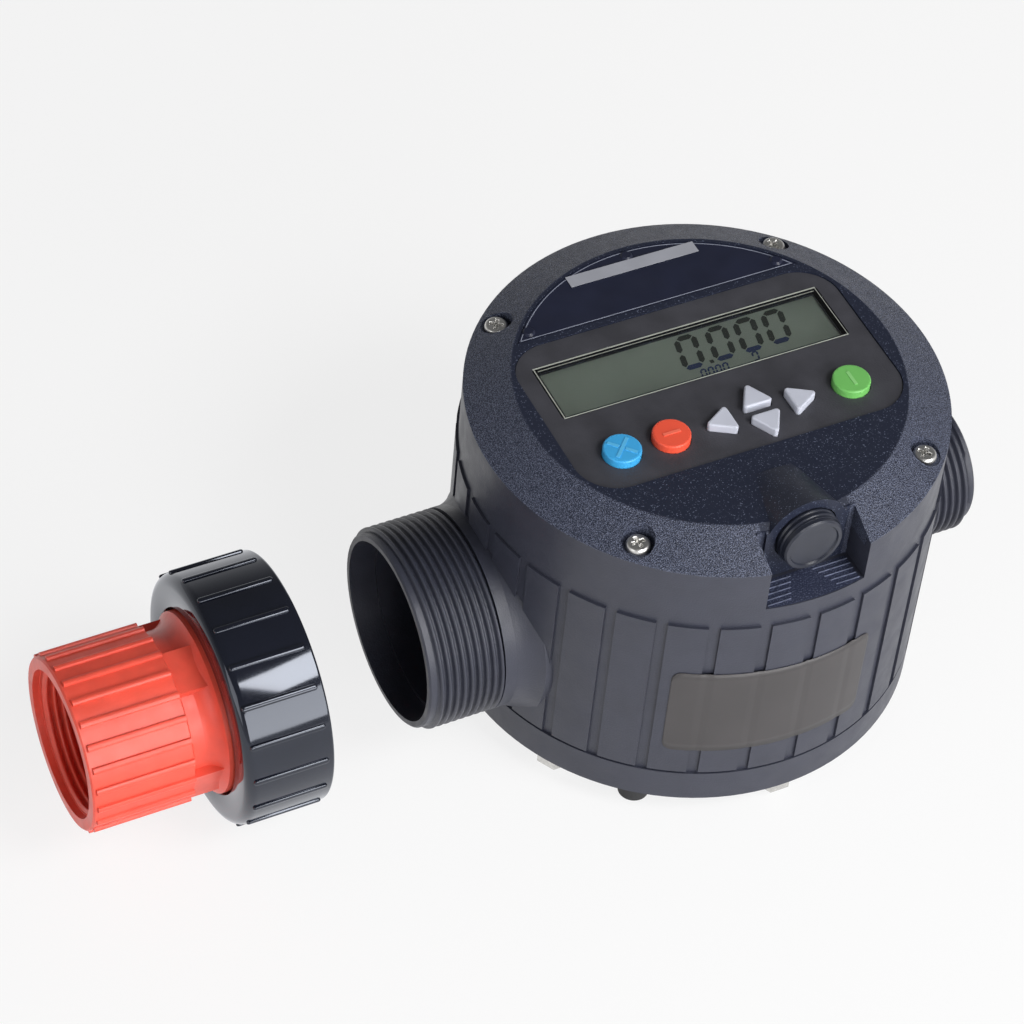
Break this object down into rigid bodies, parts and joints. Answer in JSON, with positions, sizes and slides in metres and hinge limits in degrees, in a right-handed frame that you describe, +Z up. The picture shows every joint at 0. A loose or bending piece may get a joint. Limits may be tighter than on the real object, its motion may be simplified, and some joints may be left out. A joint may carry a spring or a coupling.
{
  "type": "turbine flow meter",
  "caption": "Round drum flow meter with a keypad display, threaded inlet and outlet, inner turbine, and a union nut with a threaded adapter.",
  "frame": {"origin": "centre of the base cover's underside, on the drum's axis; the bench that the feet stand on is 7.2 mm lower", "axes": "+X along both ports from the inlet at -X to the outlet, -Y towards the operator and the connector, +Z up"},
  "size_m": [0.2788, 0.1382, 0.1148],
  "materials": {
    "housing_black": "fine satin",
    "base_black": "satin",
    "steel": "bright",
    "foot_rubber": "matt",
    "seal_rubber": "matt",
    "insert_plastic": "satin",
    "rotor_plastic": "satin",
    "bearing_brass": "bright",
    "magnet": "matt",
    "sensor": "satin",
    "battery_wrap": "gloss",
    "cover_navy": "coarse textured",
    "panel_grey": "grained",
    "window_glass": "clear",
    "plate_navy": "satin",
    "board_green": "satin",
    "mat_grey": "matt",
    "lcd_grey": "satin",
    "key_blue": "satin",
    "key_red": "satin",
    "key_green": "satin",
    "key_grey": "satin",
    "socket_black": "satin",
    "contact_gold": "bright",
    "nut_black": "high gloss",
    "adapter_red": "satin gloss"
  },
  "bodies": {
    "meter": {"housing": "housing_black", "base_cover": "base_black", "base_bolts": "steel", "base_feet": "foot_rubber", "base_o_ring": "seal_rubber", "flow_straightener": "insert_plastic", "measuring_chamber": "insert_plastic", "chamber_o_ring": "seal_rubber", "chamber_lid": "insert_plastic", "lower_bearing": "bearing_brass", "upper_bearing": "bearing_brass", "pickup_sensor": "sensor", "battery_holder": "sensor", "battery": "battery_wrap", "display_cover": "cover_navy", "display_panel": "panel_grey", "display_window": "window_glass", "name_plate": "plate_navy", "name_plate_pins": "steel", "circuit_board": "board_green", "keypad_mat": "mat_grey", "lcd_module": "lcd_grey", "cover_screws": "steel", "connector_socket": "socket_black", "connector_contacts": "contact_gold"},
    "rotor": {"turbine_rotor": "rotor_plastic", "rotor_shaft": "steel", "rotor_magnet": "magnet"},
    "plug": {"connector_plug": "socket_black"},
    "adapter": {"adapter": "adapter_red", "adapter_gasket": "seal_rubber"},
    "nut": {"union_nut": "nut_black"},
    "reset": {"button_reset": "key_blue"},
    "stop": {"button_stop": "key_red"},
    "start": {"button_start": "key_green"},
    "left": {"key_left": "key_grey"},
    "up": {"key_up": "key_grey"},
    "down": {"key_down": "key_grey"},
    "right": {"key_right": "key_grey"}
  },
  "joints": [
    {"name": "rotor_spin", "type": "hinge", "parent": "meter", "child": "rotor", "pos_m": [0, 0, 0.036], "axis": [0, 0, 1], "continuous": true},
    {"name": "plug_pull", "type": "slide", "parent": "meter", "child": "plug", "axis": [0, -1, 0], "range_m": [0, 0.014]},
    {"name": "union_slide", "type": "slide", "parent": "meter", "child": "adapter", "axis": [0.9956, 0, 0.094], "range_m": [0, 0.04681]},
    {"name": "nut_spin", "type": "hinge", "parent": "adapter", "child": "nut", "pos_m": [-0.14, 0, 0.03], "axis": [1, 0, 0], "continuous": true},
    {"name": "reset_press", "type": "slide", "parent": "meter", "child": "reset", "axis": [0, 0, -1], "range_m": [0, 0.0008], "stiffness_N_per_m": 600, "springref_m": -0.0005},
    {"name": "stop_press", "type": "slide", "parent": "meter", "child": "stop", "axis": [0, 0, -1], "range_m": [0, 0.0008], "stiffness_N_per_m": 600, "springref_m": -0.0005},
    {"name": "start_press", "type": "slide", "parent": "meter", "child": "start", "axis": [0, 0, -1], "range_m": [0, 0.0008], "stiffness_N_per_m": 600, "springref_m": -0.0005},
    {"name": "left_press", "type": "slide", "parent": "meter", "child": "left", "axis": [0, 0, -1], "range_m": [0, 0.0008], "stiffness_N_per_m": 600, "springref_m": -0.0005},
    {"name": "up_press", "type": "slide", "parent": "meter", "child": "up", "axis": [0, 0, -1], "range_m": [0, 0.0008], "stiffness_N_per_m": 600, "springref_m": -0.0005},
    {"name": "down_press", "type": "slide", "parent": "meter", "child": "down", "axis": [0, 0, -1], "range_m": [0, 0.0008], "stiffness_N_per_m": 600, "springref_m": -0.0005},
    {"name": "right_press", "type": "slide", "parent": "meter", "child": "right", "axis": [0, 0, -1], "range_m": [0, 0.0008], "stiffness_N_per_m": 600, "springref_m": -0.0005}
  ]
}
